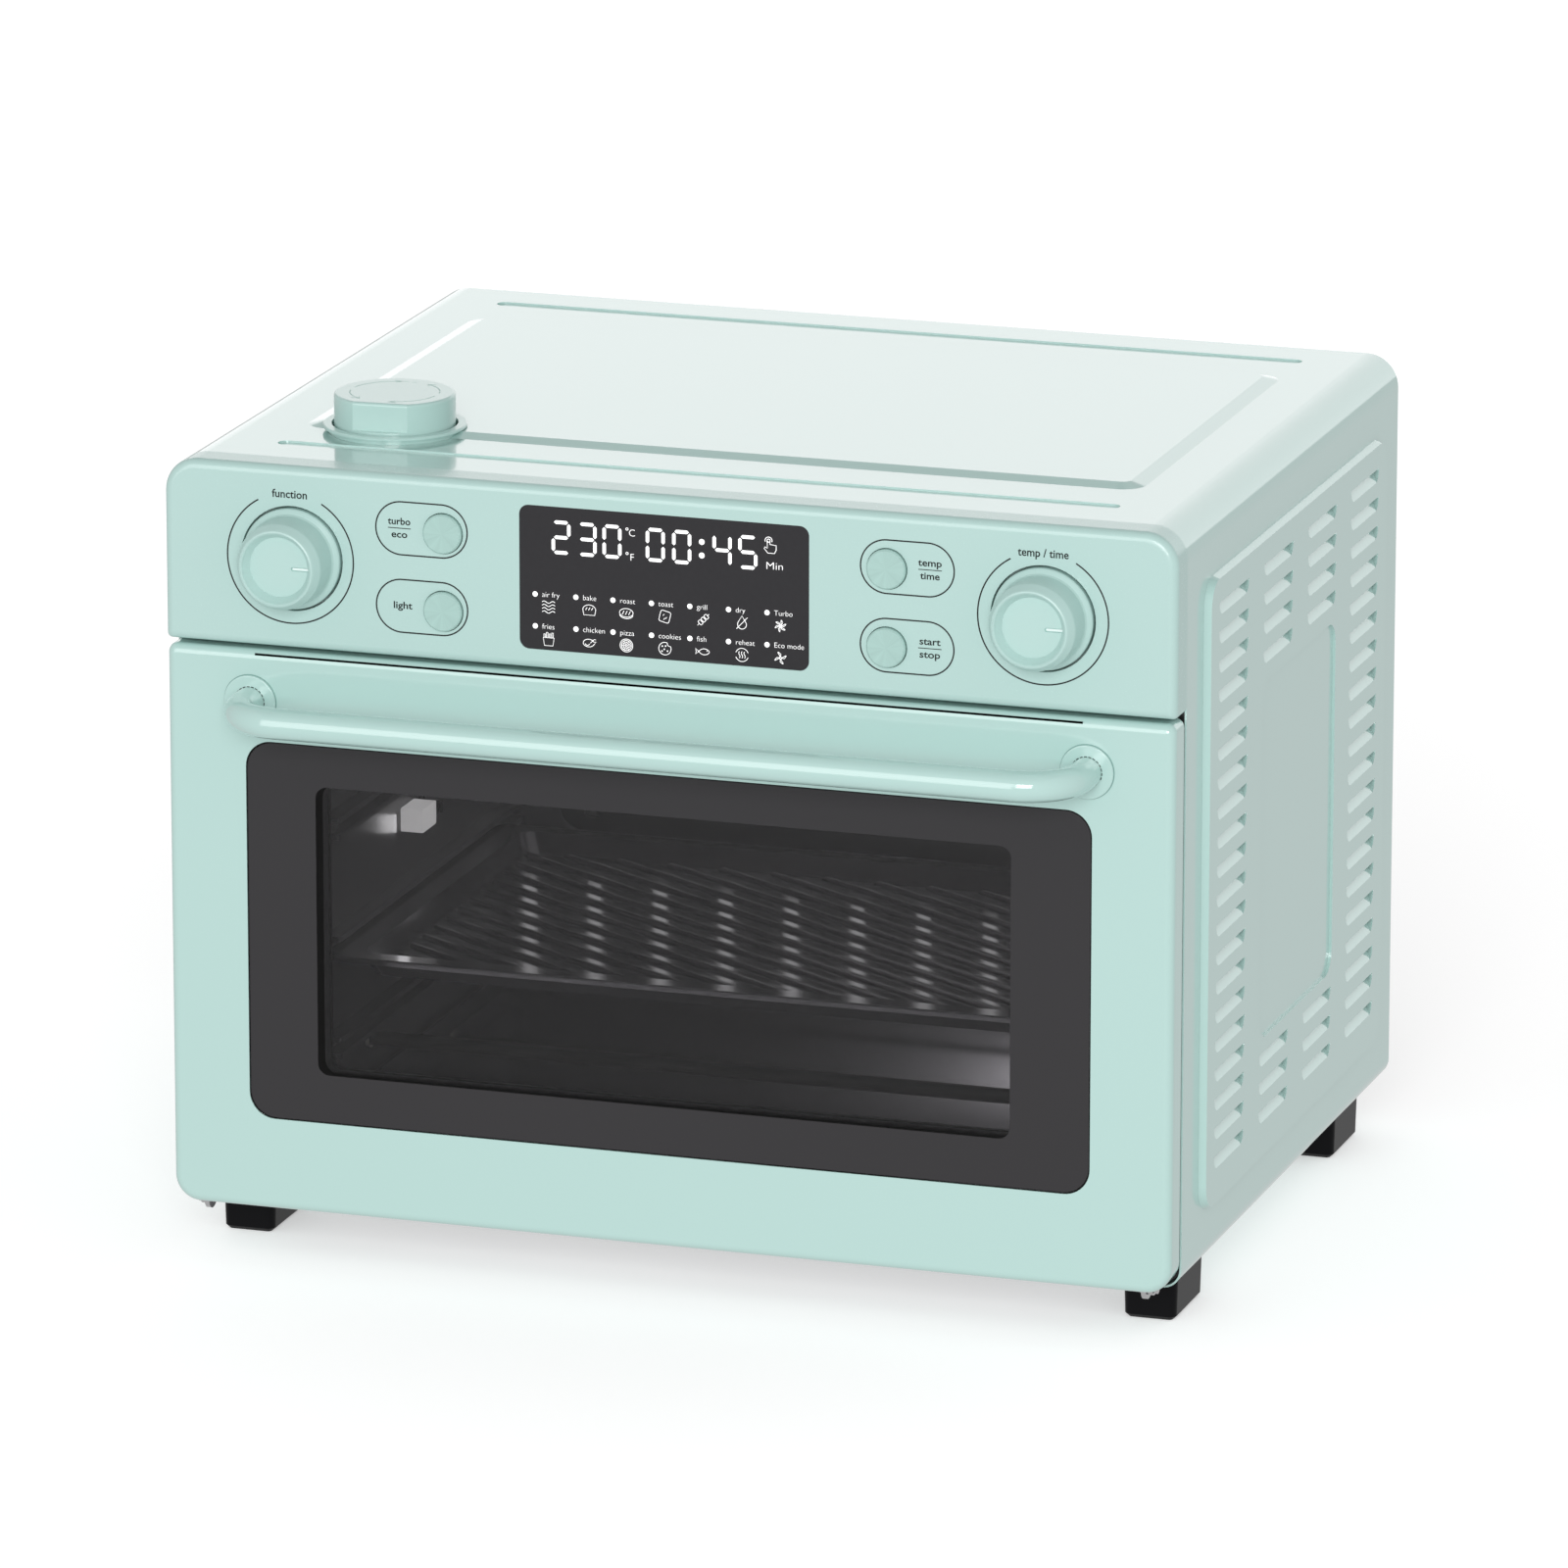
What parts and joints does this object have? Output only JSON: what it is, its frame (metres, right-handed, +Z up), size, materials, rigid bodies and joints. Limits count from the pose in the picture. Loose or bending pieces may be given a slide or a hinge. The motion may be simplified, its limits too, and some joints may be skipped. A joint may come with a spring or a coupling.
{
  "type": "toaster oven",
  "caption": "Counter-top toaster oven with a drop-down glass door, two knobs, push buttons, a display, a top vent dial, louvred sides and a ribbed tray on pressed rails.",
  "frame": {"origin": "under the middle of the whole object, on the surface that it stands on", "axes": "+Z up, the door and controls face -Y, +X is to the right of someone facing the door"},
  "size_m": [0.4358, 0.3714, 0.3544],
  "materials": {
    "body_paint": "glossy powder coat, pale mint green",
    "fascia_paint": "satin-gloss mint green",
    "knob_paint": "satin mint green",
    "button_paint": "spun satin mint green",
    "dial_paint": "satin mint green",
    "rear_paint": "dark grey powder coat",
    "galvanised_steel": "plain zinc-coated sheet",
    "bright_steel": "plain pressed steel",
    "screw_steel": "zinc plated",
    "foot_plastic": "glossy black moulding",
    "black_plastic": "matt black moulding",
    "display_glass": "smoked glossy lens",
    "circuit_board": "green solder resist",
    "encoder_metal": "nickel plated",
    "black_enamel": "heat-proof black paint",
    "dark_enamel": "dark grey enamel",
    "insulation": "glass-fibre blanket",
    "heater_sheath": "metal-sheathed element",
    "ceramic": "glazed ceramic",
    "fan_aluminium": "pressed sheet",
    "motor_steel": "black painted can",
    "lamp_glass": "ribbed lamp cover",
    "door_glass": "toughened glass with a printed dark border",
    "inner_glass": "toughened clear glass",
    "silicone": "heat-proof silicone",
    "tray_enamel": "speckled dark enamel"
  },
  "bodies": {
    "casing": {"outer_shell": "body_paint", "control_fascia": "fascia_paint", "vent_flange": "dial_paint", "base_plate": "galvanised_steel", "rear_panel": "rear_paint", "heat_shield": "galvanised_steel", "fan_housing": "galvanised_steel", "vent_duct": "galvanised_steel", "hinge_bracket_left": "bright_steel", "hinge_bracket_right": "bright_steel", "hinge_pins": "bright_steel", "foot_screws": "screw_steel", "rear_screws": "screw_steel", "foot_front_left": "foot_plastic", "foot_front_right": "foot_plastic", "foot_rear_left": "foot_plastic", "foot_rear_right": "foot_plastic", "cord_gland": "black_plastic", "display_lens": "display_glass", "display_module": "black_plastic", "control_board": "circuit_board", "tact_switches": "black_plastic", "encoder_left": "encoder_metal", "encoder_right": "encoder_metal", "front_frame": "black_enamel", "cavity_liner": "dark_enamel", "insulation_blanket": "insulation", "power_board": "circuit_board", "upper_heaters": "heater_sheath", "lower_heaters": "heater_sheath", "heater_insulators": "ceramic", "fan_guard": "black_enamel", "fan_motor": "motor_steel", "lamp_housing": "galvanised_steel", "lamp_lens": "lamp_glass", "temperature_probe": "heater_sheath"},
    "door": {"door_frame": "body_paint", "door_glass_outer": "door_glass", "door_glass_inner": "inner_glass", "window_spacer": "black_plastic", "door_inner_panel": "black_enamel", "door_seal": "silicone", "door_screws": "screw_steel", "handle_tube": "body_paint", "handle_rosettes": "body_paint", "handle_screws": "screw_steel", "hinge_arm_left": "bright_steel", "hinge_arm_right": "bright_steel"},
    "function_knob": {"knob_function": "knob_paint", "encoder_shaft_left": "encoder_metal"},
    "temperature_knob": {"knob_temperature": "knob_paint", "encoder_shaft_right": "encoder_metal"},
    "button_1": {"button_upper_left": "button_paint"},
    "button_2": {"button_lower_left": "button_paint"},
    "button_3": {"button_upper_right": "button_paint"},
    "button_4": {"button_lower_right": "button_paint"},
    "vent": {"vent_dial": "dial_paint"},
    "convection_fan": {"fan": "fan_aluminium"},
    "tray": {"grill_tray": "tray_enamel"},
    "crumbs": {"crumb_tray": "tray_enamel"}
  },
  "joints": [
    {"name": "door_hinge", "type": "hinge", "parent": "casing", "child": "door", "pos_m": [0, -0.13878, 0.0225], "axis": [1, 0, 0], "range_deg": [0, 82], "stiffness_Nm_per_rad": 0.9, "springref_deg": -28.65},
    {"name": "function_turn", "type": "hinge", "parent": "casing", "child": "function_knob", "pos_m": [-0.1595, -0.14877, 0.3001], "axis": [0, -1, 0], "continuous": true},
    {"name": "temperature_turn", "type": "hinge", "parent": "casing", "child": "temperature_knob", "pos_m": [0.1595, -0.14877, 0.3001], "axis": [0, -1, 0], "continuous": true},
    {"name": "press_1", "type": "slide", "parent": "casing", "child": "button_1", "axis": [0, 1, 0], "range_m": [0, 0.001], "stiffness_N_per_m": 600},
    {"name": "press_2", "type": "slide", "parent": "casing", "child": "button_2", "axis": [0, 1, 0], "range_m": [0, 0.001], "stiffness_N_per_m": 600},
    {"name": "press_3", "type": "slide", "parent": "casing", "child": "button_3", "axis": [0, 1, 0], "range_m": [0, 0.001], "stiffness_N_per_m": 600},
    {"name": "press_4", "type": "slide", "parent": "casing", "child": "button_4", "axis": [0, 1, 0], "range_m": [0, 0.001], "stiffness_N_per_m": 600},
    {"name": "vent_turn", "type": "hinge", "parent": "casing", "child": "vent", "pos_m": [-0.1416, -0.07387, 0.3425], "axis": [0, 0, 1], "range_deg": [0, 90]},
    {"name": "fan_spin", "type": "hinge", "parent": "casing", "child": "convection_fan", "pos_m": [0, 0.14922, 0.1725], "axis": [0, -1, 0], "continuous": true},
    {"name": "tray_slide", "type": "slide", "parent": "casing", "child": "tray", "axis": [0, -1, 0], "range_m": [0, 0.16]},
    {"name": "crumb_slide", "type": "slide", "parent": "casing", "child": "crumbs", "axis": [0, -1, 0], "range_m": [0, 0.052]}
  ],
  "couplings": [
    {"joint": "tray_slide", "follows": "door_hinge", "m_per_rad": 0.11},
    {"joint": "crumb_slide", "follows": "door_hinge", "m_per_rad": 0.035}
  ]
}
